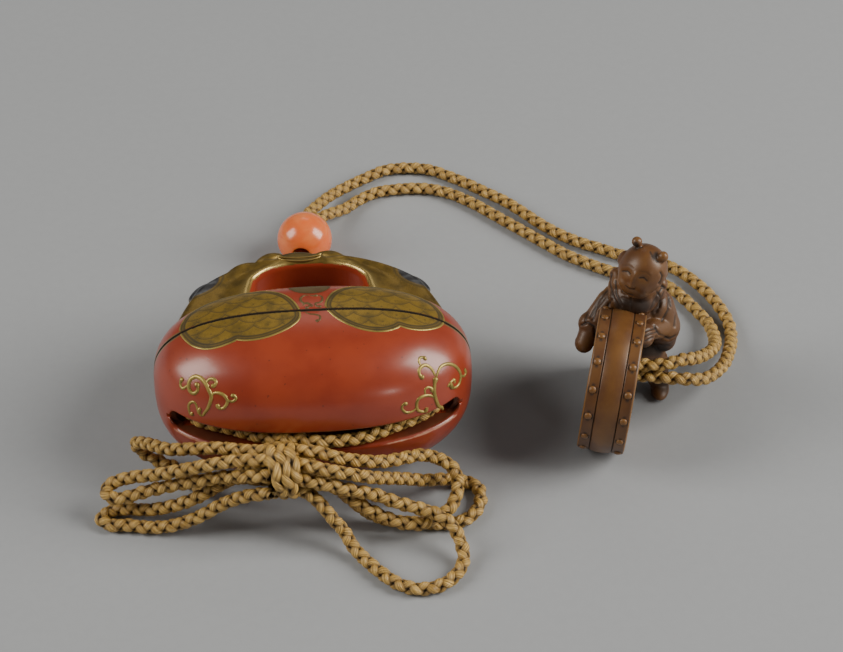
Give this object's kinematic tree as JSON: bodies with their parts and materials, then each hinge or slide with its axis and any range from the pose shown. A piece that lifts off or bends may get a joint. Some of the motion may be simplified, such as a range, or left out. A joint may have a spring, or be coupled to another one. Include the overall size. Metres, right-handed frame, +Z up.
{
  "type": "inro case",
  "caption": "Small lacquered pouch-like case in the shape of a wooden temple gong, in two fitting sections, with its silk cord, bead and carved toggle.",
  "frame": {"origin": "on the table, under the middle of the case's bounding box; the case lies on its back", "axes": "+X along the case's width, +Y from its mouth to its handle, +Z up through its decorated front"},
  "size_m": [0.1302, 0.1286, 0.0424],
  "materials": {
    "red_lacquer": "glossy red lacquer on wood, with gold decoration",
    "coral": "polished coral",
    "stained_boxwood": "stained and polished boxwood",
    "gold_brown_silk": "round braided silk"
  },
  "bodies": {
    "root": {"lower_case": "red_lacquer", "upper_case": "red_lacquer", "bead": "coral", "netsuke": "stained_boxwood", "knot": "gold_brown_silk", "cord_side_left": "gold_brown_silk", "cord_side_right": "gold_brown_silk", "cord_strand_outer": "gold_brown_silk", "cord_strand_inner": "gold_brown_silk", "bow_loop_left_upper": "gold_brown_silk", "bow_loop_left_middle": "gold_brown_silk", "bow_loop_left_lower": "gold_brown_silk", "bow_loop_right_upper": "gold_brown_silk", "bow_loop_right_middle": "gold_brown_silk", "bow_loop_right_lower": "gold_brown_silk"}
  },
  "joints": []
}
